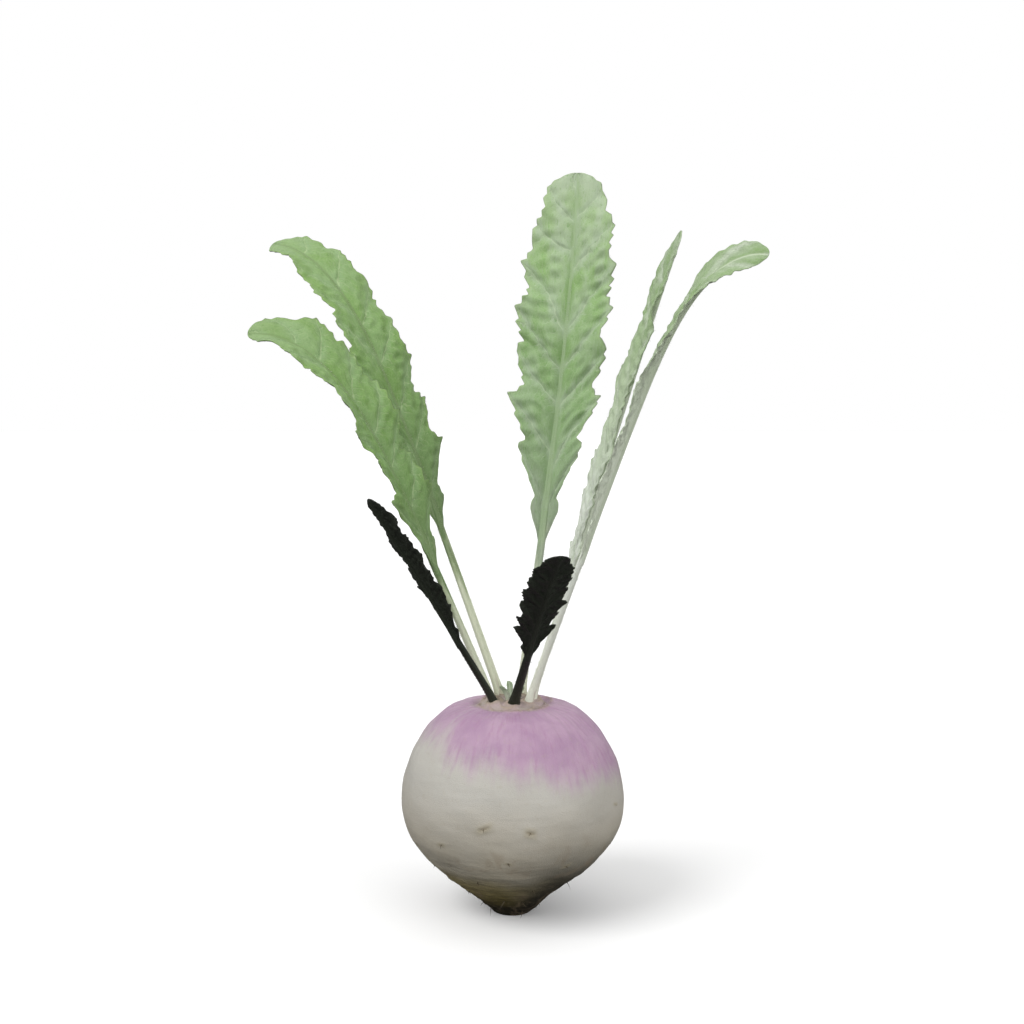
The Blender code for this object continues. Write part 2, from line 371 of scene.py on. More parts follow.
def make_fibres(skin):
    """Fine side roots, most of them broken off short, low on the root."""
    rng = np.random.default_rng(31)
    below_shoulder = profile_curve()[::-1][1:-4 * PROFILE_STEPS]
    single, ring, turn = ball("fibre", 8, 12)
    up = np.array((0.0, 0.0, 1.0))
    joined = bmesh.new()
    places = []
    for index in range(FIBRES):
        joined.from_mesh(single)
        scar_turn, scar_height = SCARS[index % len(SCARS)][:2]
        at_scar = index < len(SCARS)
        level = (scar_height if at_scar else rng.uniform(3.0, 17)) * MM
        angle = math.radians(scar_turn) if at_scar else rng.uniform(0, TURN)
        radius = np.interp(level, below_shoulder[:, 1], below_shoulder[:, 0])
        length = rng.uniform(0.7, 1.3) * MM if at_scar else rng.uniform(1.0, 2.6) * MM
        thick = rng.uniform(0.16, 0.28) * MM
        out = np.array((math.cos(angle), math.sin(angle), FIBRE_SLOPE))
        side = np.array((-math.sin(angle), math.cos(angle), 0.0))
        bend = rng.uniform(-0.9, 0.9)
        drop = rng.uniform(0.3, 1.1)
        away = (ring * length)[:, None]
        spine = (
            np.array((radius * out[0], radius * out[1], level)) - out * 0.4 * MM
            + out * away + side * away * ring[:, None] * bend
            - up * away * ring[:, None] * drop
        )
        wide = thick * np.sqrt(np.clip(ring * 20, 0, 1)) * (1 - ring) ** 0.6
        round_side = side * (-np.cos(turn * TURN) * wide)[:, None]
        round_up = up * (np.sin(turn * TURN) * wide)[:, None]
        made = spine + round_side + round_up
        made[:, 2] = np.maximum(made[:, 2], 0.1 * MM)
        places.append(made)
    mesh = bpy.data.meshes.new("root_fibres")
    joined.to_mesh(mesh)
    joined.free()
    place_points(mesh, np.vstack(places))
    add_piece(mesh, "root_fibres", skin)


# The leaves

def midrib(leaf):
    """Arrays along the leaf's inner face: its places, and the ways along, across and inward."""
    share = np.arange(MIDRIB_STEPS + 1) / MIDRIB_STEPS
    lean = np.radians(leaf.lean + leaf.arch * share**leaf.late)
    turn = np.radians(leaf.heading + leaf.sway * share**2)
    along = np.stack(
        (np.sin(lean) * np.cos(turn), np.sin(lean) * np.sin(turn), np.cos(lean)), axis=-1
    )
    level = np.stack((-np.sin(turn), np.cos(turn), np.zeros_like(turn)), axis=-1)
    twist = np.minimum(1.0, share / leaf.stalk)
    roll = np.radians(leaf.roll * twist + leaf.curl * share**leaf.late)[:, None]
    across = level * np.cos(roll) + np.cross(along, level) * np.sin(roll)
    foot = math.radians(leaf.place)
    start = np.array((
        leaf.ring * math.cos(foot), leaf.ring * math.sin(foot), CROWN_HEIGHT,
    )) - along[0] * ROOTED
    step = (leaf.length + ROOTED) / MIDRIB_STEPS
    places = start + np.vstack((np.zeros(3), np.cumsum(along[:-1] * step, axis=0)))
    return places, along, across, np.cross(along, across)


def along_midrib(frames, share):
    steps = np.arange(MIDRIB_STEPS + 1) / MIDRIB_STEPS
    share = np.clip(share, 0, 1)
    return [
        np.stack([np.interp(share, steps, part[:, axis]) for axis in range(3)], axis=-1)
        for part in frames
    ]


def tooth(at, peak):
    """0 in a notch and 1 on a tooth, once for each whole number of at."""
    at = at % 1.0
    return np.where(at <= peak, at / peak, (1 - at) / (1 - peak))


def outline(leaf, share):
    widened = share / leaf.spread
    widened = widened / (1 + widened**SPREAD_POWER) ** (1 / SPREAD_POWER)
    return widened * np.sqrt(np.clip(1 - share**TIP_POWER, 0, None))


def half_width(leaf, share, hand, seed):
    """The blade's half width, cut into teeth that have small uneven teeth of their own."""
    cut = TIP_CUT + STALK_CUT * (1 - share) ** 3
    line = np.stack((share * 8, hand), axis=-1)
    small = tooth(share * TEETH * 3.4 + 0.45 * wobble(line, 0.5, seed), 0.62)
    uneven = 1 + 0.05 * wobble(line, 0.9, seed + 1) * smoothstep(0, 0.1, share)
    big = tooth(share * TEETH, TOOTH_PEAK)
    width = 0.5 * leaf.width * outline(leaf, share) * (1 - cut * (1 - big))
    return width * uneven * (1 - SMALL_CUT * (1 - small))


def stalk_flare(leaf, share):
    """How much wider than elsewhere the stalk is by its foot."""
    return FOOT_FLARE * np.exp(-((share * leaf.length / FLARE_LENGTH) ** 2))


def rib_half(leaf, share, blade):
    """Half the width of the stalk, and of the rib that it runs on as."""
    rib = STALK_HALF * leaf.girth * (1 - (1 - RIB_TIP_WIDTH) * share)
    rib = rib * (1 - RIB_SLIMMING * smoothstep(0.0, 0.4, blade))
    rib = rib * (1 + stalk_flare(leaf, share))
    return rib * np.sqrt(np.clip((1 - share) / 0.03, 0, 1))


def rib_depth(leaf, share):
    """How deep the stalk and the rib are."""
    keel = STALK_THICK * leaf.girth * (1 - (1 - RIB_TIP_THICK) * share)
    keel = keel * np.sqrt(np.clip((1 - share) / 0.02, 0, 1)) * smoothstep(-0.002, 0.004, share)
    return keel * (1 + 0.6 * stalk_flare(leaf, share))


def main_veins(leaf, blade, hand, outward, seed):
    """The veins to the big teeth: a count that is whole on each vein, and a mask."""
    line = np.stack((blade * TEETH, 3 * hand), axis=-1)
    bend = 0.6 * outward + 0.4 * outward**2
    vein_run = TEETH * (blade + VEIN_LEAD * (1 - bend)) - TOOTH_PEAK
    vein_run = vein_run + 0.22 * (1 - outward) * wobble(line, 1.3, seed)
    spacing = leaf.length * (1 - leaf.stalk) / TEETH
    phase = vein_run % 1.0
    off_vein = 0.75 * spacing * np.minimum(phase, 1 - phase)
    half = VEIN_HALF * (leaf.width / WIDE_LEAF) * (1 - 0.6 * outward)
    vein = np.exp(-((off_vein / half) ** 2)) * (1 - 0.5 * outward)
    return vein_run, vein * smoothstep(0, 0.12, outward) * smoothstep(0.0, 0.05, blade)


def blade_rise(leaf, blade, hand, outward, beyond, flat, vein_run, seed):
    """How far the blade rises off a flat sheet: folded, waved, crinkled and puffed."""
    size = leaf.width / WIDE_LEAF
    full = outline(leaf, blade)
    start = np.where(hand > 0, WAVE_STARTS[1], WAVE_STARTS[0])
    wave = np.sin(TURN * WAVES * blade + start)
    crinkle = wobble(np.stack((blade * 10, 4 * hand), axis=-1), 0.55, seed)
    quilt = wobble(flat, 2.6 * MM * size, seed + 1)
    between_veins = np.sin(math.pi * (vein_run % 1.0)) ** 0.8
    return (
        beyond * math.sin(math.radians(leaf.fold))
        + WAVE_HEIGHT * min(1.0, 1.1 * size) * leaf.waviness * wave * full * outward**1.3
        + CRINKLE * size * leaf.waviness * crinkle * full * outward**2.2
        + PUFF * size * full * between_veins * np.sin(math.pi * outward**0.7)
        + QUILT * size * full * smoothstep(0, 0.25, outward) * quilt
        - 0.3 * MM * size * full * np.exp(-((beyond / (1.2 * MM)) ** 2))
    )


def leaf_faces(leaf, share, blade, rib, reach, rib_share, outward, vein):
    """The heights of the leaf's upper face and of its lower face over its middle sheet."""
    size = leaf.width / WIDE_LEAF
    keel = rib_depth(leaf, share)
    is_stalk = 1 - smoothstep(0.0, 0.16, blade)
    dome = np.sqrt(np.clip(1 - rib_share**2, 0, 1))
    groove = np.exp(-((reach / (0.42 * rib + 1e-9)) ** 2)) * STALK_GROOVE * rib / STALK_HALF
    top = is_stalk * keel * 0.42 * (dome - 1) - groove * smoothstep(0, 0.02, share)
    top = top + RIB_RISE * rib / STALK_HALF * dome * (1 - is_stalk)
    sheet = BLADE_THICK * min(1.0, 1.4 * leaf.girth)
    sheet = sheet * np.sqrt(np.clip((1 - outward) / 0.08, 0, 1)) * smoothstep(0, 0.06, blade)
    sheet = sheet * np.sqrt(np.clip((1 - share) / 0.01, 0, 1))
    beyond = np.maximum(0.0, reach - rib)
    fillet = 0.5 * keel * np.exp(-beyond / (0.55 * MM)) * smoothstep(0, 0.1, blade)
    fillet = fillet * (1 - outward)
    under = np.maximum(keel * dome * 0.97 + 0.03 * keel * is_stalk, sheet + fillet * 0.5)
    under = under + VEIN_RISE * size * vein
    bottom = np.where(is_stalk > 0.999, -keel * (0.42 + 0.58 * dome), top - under)
    top = top - VEIN_SINK * size * vein + 0.04 * MM * (outward > 0) * (outward < 1)
    return top, bottom


def make_leaf(leaf, seed, skin):
    """A ball drawn out along the midrib and flattened: its rings cross the leaf."""
    columns, rows = DARK_LEAF_GRID if leaf.slot == "leaf_dark" else LEAF_GRID
    if leaf in BUDS:
        columns, rows = BUD_GRID
    mesh, ring, turn = ball(leaf.name + "_skin", 4 * columns, rows)
    share = 1 - ring**TIP_CROWDING
    blade = np.clip((share - leaf.stalk) / (1 - leaf.stalk), 0, 1)
    upper = turn < 0.5
    t = np.where(upper, 1 - 4 * turn, 4 * turn - 3)
    hand = np.where(t >= 0, 1.0, -1.0)
    across_half = np.abs(t)

    # rib_share runs from 0 to 1 over half of the rib, and outward from there to the edge.
    rib = rib_half(leaf, share, blade)
    wide = np.maximum(half_width(leaf, blade, hand, 20 * seed), rib)
    split = np.clip(rib / np.maximum(wide, 1e-9), RIB_COLUMNS_SHARE, 1.0)
    on_rib = across_half <= split
    quarter = math.pi / 2 * np.minimum(1, across_half / split)
    rib_share = np.where(on_rib, np.sin(quarter), 1.0)
    outward = (across_half - split) / np.maximum(1 - split, 1e-9)
    outward = np.where(on_rib, 0.0, outward)
    reach = rib * rib_share + (wide - rib) * outward
    beyond = np.maximum(0.0, reach - rib)
    sweep = FORWARD_SWEEP * beyond * (1 - blade) / leaf.length
    place, along, across, inward = along_midrib(midrib(leaf), TIP_END * (share + sweep))

    vein_run, vein = main_veins(leaf, blade, hand, outward, 20 * seed + 2)
    flat = np.stack((share * leaf.length, hand * (reach + 4 * MM)), axis=-1)
    rise = blade_rise(leaf, blade, hand, outward, beyond, flat, vein_run, 20 * seed + 3)
    top, bottom = leaf_faces(leaf, share, blade, rib, reach, rib_share, outward, vein)
    lift = rise + np.where(upper, top, bottom)
    out = reach - beyond * (1 - math.cos(math.radians(leaf.fold)))
    points = place + across * (hand * out)[:, None] + inward * lift[:, None]
    place_points(mesh, points)

    beside_rib = 0.5 * np.exp(-beyond / (0.5 * MM))
    note(mesh, "along", share)
    note(mesh, "blade", blade)
    note(mesh, "outward", outward)
    note(mesh, "vein_run", vein_run)
    note(mesh, "rib", np.where(on_rib, 1 - 0.5 * rib_share**4, beside_rib))
    note(mesh, "under", np.where(upper, 0.0, 1.0))
    note(mesh, "vein", vein)
    note(mesh, "flat", np.column_stack((flat / MM, 6.0 * (1 - upper))))
    return add_piece(mesh, leaf.name + "_skin", skin)


def make_hairs(leaf, piece, count, seed):
    """Short bristles on the stalk, the rib and the underside of one leaf."""
    mesh = piece.data
    total = len(mesh.vertices)
    spots = np.empty(total * 3, np.float32)
    normals = np.empty(total * 3, np.float32)
    mesh.vertices.foreach_get("co", spots)
    mesh.vertex_normals.foreach_get("vector", normals)
    spots = spots.reshape(-1, 3)
    normals = normals.reshape(-1, 3)
    values = {}
    for name in ("along", "under", "rib", "vein"):
        values[name] = np.empty(total, np.float32)
        mesh.attributes[name].data.foreach_get("value", values[name])
    weight = 0.12 + values["rib"] + 2.0 * values["vein"] + 0.6 * values["under"]
    weight = weight * smoothstep(0.03, 0.08, values["along"])
    weight = weight * (1 - smoothstep(0.82, 0.88, values["along"]))
    rng = np.random.default_rng(seed)
    chosen = rng.choice(total, size=count, replace=False, p=weight / weight.sum())
    way = normals[chosen] + rng.normal(0, 0.28, (count, 3))
    way = way / np.linalg.norm(way, axis=1)[:, None]
    side = np.cross(way, rng.normal(size=(count, 3)))
    side = side / np.linalg.norm(side, axis=1)[:, None]
    length = rng.uniform(0.5, 1.2, (count, 1)) * MM * min(1.0, 0.3 + leaf.width / WIDE_LEAF)

    bm = bmesh.new()
    bmesh.ops.create_cone(
        bm, cap_ends=True, segments=3, radius1=1.0, radius2=HAIR_TAPER, depth=1.0,
    )
    single = bpy.data.meshes.new("hair")
    bm.to_mesh(single)
    bm.clear()
    for _ in range(count):
        bm.from_mesh(single)
    hairs = bpy.data.meshes.new(leaf.name + "_hairs")
    bm.to_mesh(hairs)
    bm.free()
    shape = np.array([corner.co[:] for corner in single.vertices])
    x, y, z = (shape[:, axis][None, :, None] for axis in range(3))
    round_hair = x * side[:, None] + y * np.cross(way, side)[:, None]
    points = (
        spots[chosen][:, None] + HAIR_RADIUS * round_hair
        + (z + 0.45) * (way * length)[:, None]
    )
    place_points(hairs, points.reshape(-1, 3))
    return hairs


# Shader helpers

def connect(tree, value, socket):
    """Links a node's output to a socket, or sets the socket to a number or a colour."""
    if value is None:
        return
    if isinstance(value, bpy.types.NodeSocket):
        tree.links.new(value, socket)
    elif isinstance(value, tuple) and len(value) == 3 and len(socket.default_value) == 4:
        socket.default_value = (*value, 1.0)
    else:
        socket.default_value = value


def math_node(tree, operation, *values):
    made = tree.nodes.new("ShaderNodeMath")
    made.operation = operation
    for value, socket in zip(values, made.inputs):
        connect(tree, value, socket)
    return made.outputs[0]


def between(tree, value, low, high, new_low=0.0, new_high=1.0):
    """A value smoothly mapped from one range to another and kept inside it."""
    made = tree.nodes.new("ShaderNodeMapRange")
    made.interpolation_type = "SMOOTHSTEP"
    for item, socket in zip((value, low, high, new_low, new_high), made.inputs):
        connect(tree, item, socket)
    return made.outputs[0]


def blend(tree, factor, first, second):
    made = tree.nodes.new("ShaderNodeMix")
    made.data_type = "RGBA"
    connect(tree, factor, made.inputs[0])
    connect(tree, first, made.inputs[6])
    connect(tree, second, made.inputs[7])
    return made.outputs[2]


def attribute(tree, name):
    """A number that note() kept for each point."""
    made = tree.nodes.new("ShaderNodeAttribute")
    made.attribute_name = name
    return made.outputs["Fac"]


def direction(tree, name):
    """The same for three numbers."""
    made = tree.nodes.new("ShaderNodeAttribute")
    made.attribute_name = name
    return made.outputs["Vector"]


def spot(tree):
    """The place on the object in millimetres."""
    place = tree.nodes.new("ShaderNodeTexCoord").outputs["Object"]
    made = tree.nodes.new("ShaderNodeVectorMath")
    made.operation = "SCALE"
    connect(tree, place, made.inputs[0])
    made.inputs["Scale"].default_value = 1 / MM
    return made.outputs[0]


def stretch(tree, vector, scale):
    made = tree.nodes.new("ShaderNodeMapping")
    connect(tree, vector, made.inputs["Vector"])
    made.inputs["Scale"].default_value = scale
    return made.outputs[0]


def noise(tree, vector, scale, detail=2.0, roughness=0.5, warp=0.0):
    made = tree.nodes.new("ShaderNodeTexNoise")
    connect(tree, vector, made.inputs["Vector"])
    connect(tree, scale, made.inputs["Scale"])
    made.inputs["Detail"].default_value = detail
    made.inputs["Roughness"].default_value = roughness
    made.inputs["Distortion"].default_value = warp
    return made.outputs[0]


def colour_ramp(tree, value, stops):
    made = tree.nodes.new("ShaderNodeValToRGB")
    connect(tree, value, made.inputs[0])
    stop = made.color_ramp.elements
    while len(stop) < len(stops):
        stop.new(0.5)
    for element, (place, colour) in zip(stop, stops):
        element.position = place
        element.color = (*colour, 1.0)
    return made.outputs[0]


def new_group(name, inputs, outputs):
    tree = bpy.data.node_groups.new(name, "ShaderNodeTree")
    for label, kind, value in inputs:
        made = tree.interface.new_socket(label, in_out="INPUT", socket_type=kind)
        if value is not None:
            made.default_value = value
    for label, kind in outputs:
        tree.interface.new_socket(label, in_out="OUTPUT", socket_type=kind)
    return tree, tree.nodes.new("NodeGroupInput").outputs, tree.nodes.new("NodeGroupOutput").inputs


def use_group(tree, group, **values):
    made = tree.nodes.new("ShaderNodeGroup")
    made.node_tree = group
    for name, value in values.items():
        connect(tree, value, made.inputs[name.replace("_", " ")])
    return made.outputs


def new_material(name, roughness):
    made = bpy.data.materials.new(name)
    made.use_nodes = True
    tree = made.node_tree
    shader = tree.nodes["Principled BSDF"]
    shader.inputs["Roughness"].default_value = roughness
    return made, tree, shader


def set_specular(shader, level):
    shader.inputs["Specular IOR Level"].default_value = level


def bump(tree, shader, height, distance):
    made = tree.nodes.new("ShaderNodeBump")
    made.inputs["Strength"].default_value = 1.0
    made.inputs["Distance"].default_value = distance
    connect(tree, height, made.inputs["Height"])
    tree.links.new(made.outputs["Normal"], shader.inputs["Normal"])


# Effects that several materials use

def mottle_group():
    """Soft uneven patches with smaller patches inside them."""
    tree, into, out = new_group(
        "mottle",
        (("Vector", "NodeSocketVector", None), ("Scale", "NodeSocketFloat", 0.1)),
        (("Patches", "NodeSocketFloat"), ("Flecks", "NodeSocketFloat")),
    )
    wide = noise(tree, into["Vector"], into["Scale"], 4.0, 0.55, 0.4)
    finer = math_node(tree, "MULTIPLY", into["Scale"], 7.0)
    fine = noise(tree, into["Vector"], finer, 2.0, 0.6)
    connect(tree, between(tree, wide, 0.34, 0.66), out["Patches"])
    connect(tree, between(tree, fine, 0.56, 0.72), out["Flecks"])
    return tree


def cells_group():
    """The fine bumps of skin cells, as a height and as a mask of the lines between them."""
    tree, into, out = new_group(
        "skin_cells",
        (("Vector", "NodeSocketVector", None), ("Scale", "NodeSocketFloat", 3.0)),
        (("Height", "NodeSocketFloat"), ("Lines", "NodeSocketFloat")),
    )
    cells = tree.nodes.new("ShaderNodeTexVoronoi")
    cells.feature = "DISTANCE_TO_EDGE"
    connect(tree, into["Vector"], cells.inputs["Vector"])
    connect(tree, into["Scale"], cells.inputs["Scale"])
    edge = between(tree, cells.outputs["Distance"], 0.0, 0.16)
    grain = noise(tree, into["Vector"], math_node(tree, "MULTIPLY", into["Scale"], 1.7), 3.0)
    connect(tree, math_node(tree, "MULTIPLY_ADD", grain, 0.7, edge), out["Height"])
    connect(tree, math_node(tree, "SUBTRACT", 1.0, edge), out["Lines"])
    return tree


def veins_group():
    """A leaf's veins: main ones to its teeth, branches between them and a fine net."""
    tree, into, out = new_group(
        "leaf_veins",
        (("Branches", "NodeSocketFloat", 9.0), ("Net Scale", "NodeSocketFloat", 0.8)),
        (("Main", "NodeSocketFloat"), ("Branch", "NodeSocketFloat"),
         ("Net", "NodeSocketFloat"), ("Near", "NodeSocketFloat"),
         ("Height", "NodeSocketFloat")),
    )
    run = attribute(tree, "vein_run")
    outward = attribute(tree, "outward")
    flat = direction(tree, "flat")
    drift = noise(tree, flat, 0.35, 2.0)
    drift = math_node(tree, "MULTIPLY_ADD", drift, 0.16, -0.08)
    phase = math_node(tree, "FRACT", math_node(tree, "ADD", run, drift))
    middle = math_node(tree, "ABSOLUTE", math_node(tree, "SUBTRACT", phase, 0.5))
    off_vein = math_node(tree, "SUBTRACT", 0.5, middle)
    thin = math_node(tree, "MULTIPLY_ADD", outward, -0.024, 0.036)
    main = between(tree, off_vein, thin, 0.0)
    inside = math_node(tree, "MULTIPLY", between(tree, outward, 0.0, 0.06),
                       between(tree, attribute(tree, "blade"), 0.0, 0.04))
    main = math_node(tree, "MULTIPLY", main, inside)

    # Branches leave each main vein on both sides and meet half way to the next.
    lean = math_node(tree, "MULTIPLY_ADD", off_vein, -0.5, outward)
    wander = noise(tree, flat, 0.22, 3.0)
    lean = math_node(tree, "MULTIPLY_ADD", wander, 0.22, lean)
    which = math_node(tree, "FLOOR", math_node(tree, "MULTIPLY", run, 2.0))
    lean = math_node(tree, "MULTIPLY_ADD", which, 0.37, lean)
    comb = math_node(tree, "FRACT", math_node(tree, "MULTIPLY", lean, into["Branches"]))
    comb = math_node(tree, "ABSOLUTE", math_node(tree, "SUBTRACT", comb, 0.5))
    branch = between(tree, comb, 0.40, 0.5)
    fade = between(tree, off_vein, 0.5, 0.16, 0.25, 1.0)
    branch = math_node(tree, "MULTIPLY", math_node(tree, "MULTIPLY", branch, fade), inside)

    net = tree.nodes.new("ShaderNodeTexVoronoi")
    net.feature = "DISTANCE_TO_EDGE"
    connect(tree, flat, net.inputs["Vector"])
    connect(tree, into["Net Scale"], net.inputs["Scale"])
    net = between(tree, net.outputs["Distance"], 0.11, 0.0)
    net = math_node(tree, "MULTIPLY", net, inside)
    height = math_node(tree, "MULTIPLY_ADD", branch, -0.7, math_node(tree, "MULTIPLY", net, -0.35))
    connect(tree, main, out["Main"])
    connect(tree, branch, out["Branch"])
    connect(tree, net, out["Net"])
    connect(tree, between(tree, off_vein, 0.26, 0.03), out["Near"])
    connect(tree, height, out["Height"])
    return tree


# Materials

LEAF_ROUGHNESS = 0.5
LEAF_SPECULAR = 0.3
ROOT_SPECULAR = 0.2

# A kind of leaf: colours along it from its foot, the colours laid over them, how much its
# underside takes of its own colour, and how close its branch veins and the net of veins are.
Tints = namedtuple("Tints", "stops patch fleck vein rib under edge under_share branches net")
TINTS = {
    "back": Tints(
        ((0.0, (0.48, 0.42, 0.34)), (0.035, (0.74, 0.76, 0.60)), (0.20, (0.66, 0.70, 0.54)),
         (0.31, (0.32, 0.39, 0.275)), (0.45, (0.24, 0.385, 0.155)), (0.75, (0.26, 0.42, 0.15)),
         (1.0, (0.40, 0.49, 0.32))),
        (0.42, 0.51, 0.37), (0.16, 0.33, 0.09), (0.48, 0.58, 0.39), (0.32, 0.43, 0.24),
        (0.44, 0.53, 0.40), (0.37, 0.51, 0.24), 0.5, 8.0, 0.75,
    ),
    # The pale grey-white low on these leaves and on their undersides, taken strongly there, is
    # partly the leaf's own paler colour and partly painted light, lifted where the undersides face
    # the camera in shade.
    "right": Tints(
        ((0.0, (0.50, 0.45, 0.38)), (0.035, (0.78, 0.80, 0.68)), (0.22, (0.76, 0.78, 0.71)),
         (0.38, (0.73, 0.76, 0.70)), (0.60, (0.46, 0.55, 0.38)), (0.82, (0.21, 0.35, 0.11)),
         (1.0, (0.19, 0.32, 0.10))),
        (0.54, 0.60, 0.49), (0.27, 0.38, 0.19), (0.56, 0.64, 0.48), (0.56, 0.63, 0.48),
        (0.77, 0.83, 0.69), (0.29, 0.43, 0.18), 0.85, 7.0, 0.8,
    ),
    "green": Tints(
        ((0.0, (0.48, 0.42, 0.34)), (0.035, (0.74, 0.76, 0.60)), (0.19, (0.66, 0.70, 0.52)),
         (0.26, (0.40, 0.47, 0.28)), (0.33, (0.14, 0.22, 0.08)), (0.50, (0.15, 0.28, 0.065)),
         (0.78, (0.19, 0.33, 0.09)), (1.0, (0.26, 0.39, 0.16))),
        (0.26, 0.39, 0.19), (0.095, 0.21, 0.04), (0.40, 0.52, 0.27), (0.20, 0.28, 0.125),
        (0.28, 0.40, 0.21), (0.26, 0.41, 0.12), 0.5, 7.0, 0.8,
    ),
    # The two front leaves turn their undersides to the camera in shade: these near-black colours
    # are painted shade, not the leaf's own colour.
    "dark": Tints(
        ((0.0, (0.022, 0.027, 0.014)), (0.3, (0.012, 0.016, 0.009)),
         (1.0, (0.010, 0.014, 0.008))),
        (0.016, 0.021, 0.012), (0.005, 0.007, 0.004), (0.024, 0.030, 0.018),
        (0.018, 0.024, 0.014), (0.016, 0.021, 0.014), (0.016, 0.020, 0.011), 0.5, 5.0, 1.3,
    ),
}
LEAF_KINDS = {
    "leaf_back": "back", "leaf_right": "right", "leaf_right_low": "right",
    "leaf_left": "green", "leaf_left_low": "green",
    "leaf_front_left": "dark", "leaf_front_right": "dark",
}


def leaf_material(name, tints, groups):
    made, tree, shader = new_material(name, LEAF_ROUGHNESS)
    place = spot(tree)
    along = attribute(tree, "along")
    rib = attribute(tree, "rib")
    under = attribute(tree, "under")
    outward = attribute(tree, "outward")
    flat = direction(tree, "flat")
    veins = use_group(tree, groups["veins"], Branches=tints.branches, Net_Scale=tints.net)
    long_way = stretch(tree, flat, (0.35, 1.0, 1.0))
    mottle = use_group(tree, groups["mottle"], Vector=long_way, Scale=0.16)
    cells = use_group(tree, groups["cells"], Vector=place, Scale=2.6)

    drift = math_node(tree, "MULTIPLY_ADD", mottle["Patches"], 0.10, -0.05)
    colour = colour_ramp(tree, math_node(tree, "ADD", along, drift), tints.stops)
    is_blade = between(tree, attribute(tree, "blade"), 0.0, 0.05)
    patch = math_node(tree, "ADD", mottle["Patches"], veins["Near"])
    patch = math_node(tree, "MULTIPLY", patch, 0.4)
    colour = blend(tree, math_node(tree, "MULTIPLY", patch, is_blade), colour, tints.patch)
    fleck = math_node(tree, "MULTIPLY", mottle["Flecks"], 0.5)
    colour = blend(tree, math_node(tree, "MULTIPLY", fleck, is_blade), colour, tints.fleck)
    rim = math_node(tree, "MULTIPLY", between(tree, outward, 0.86, 1.0), 0.55)
    colour = blend(tree, rim, colour, tints.edge)
    # Undersides grow paler towards the foot; with the tints for the right leaves, this paleness is
    # partly painted light.
    pale = between(tree, along, 0.9, 0.35, 0.3, tints.under_share)
    pale = math_node(tree, "MULTIPLY", under, pale)
    colour = blend(tree, math_node(tree, "MULTIPLY", pale, is_blade), colour, tints.under)
    net = math_node(tree, "MULTIPLY_ADD", veins["Net"], 0.2,
                    math_node(tree, "MULTIPLY", veins["Branch"], 0.45))
    colour = blend(tree, net, colour, tints.vein)
    colour = blend(tree, math_node(tree, "MULTIPLY", veins["Main"], 0.9), colour, tints.vein)
    ribbed = math_node(tree, "MULTIPLY", between(tree, rib, 0.1, 0.9, 0.0, 0.7), is_blade)
    colour = blend(tree, ribbed, colour, tints.rib)
    grooves = math_node(tree, "MULTIPLY", cells["Lines"], 0.10)
    colour = blend(tree, grooves, colour, tints.fleck)
    connect(tree, colour, shader.inputs["Base Color"])

    rough = math_node(tree, "MULTIPLY_ADD", mottle["Patches"], 0.12, LEAF_ROUGHNESS - 0.06)
    rough = math_node(tree, "MULTIPLY_ADD", rib, -0.10, rough)
    connect(tree, rough, shader.inputs["Roughness"])
    set_specular(shader, LEAF_SPECULAR)

    # Fine ridges run along the stalk, and the blade has its veins and cells.
    ridges = noise(tree, stretch(tree, flat, (0.05, 1.0, 1.0)), 1.6, 2.0)
    ridges = math_node(tree, "MULTIPLY", ridges, math_node(tree, "SUBTRACT", 1.0, is_blade))
    height = math_node(tree, "MULTIPLY_ADD", cells["Height"], 0.18, veins["Height"])
    height = math_node(tree, "MULTIPLY_ADD", ridges, 1.6, height)
    bump(tree, shader, height, 0.16 * MM)
    return made


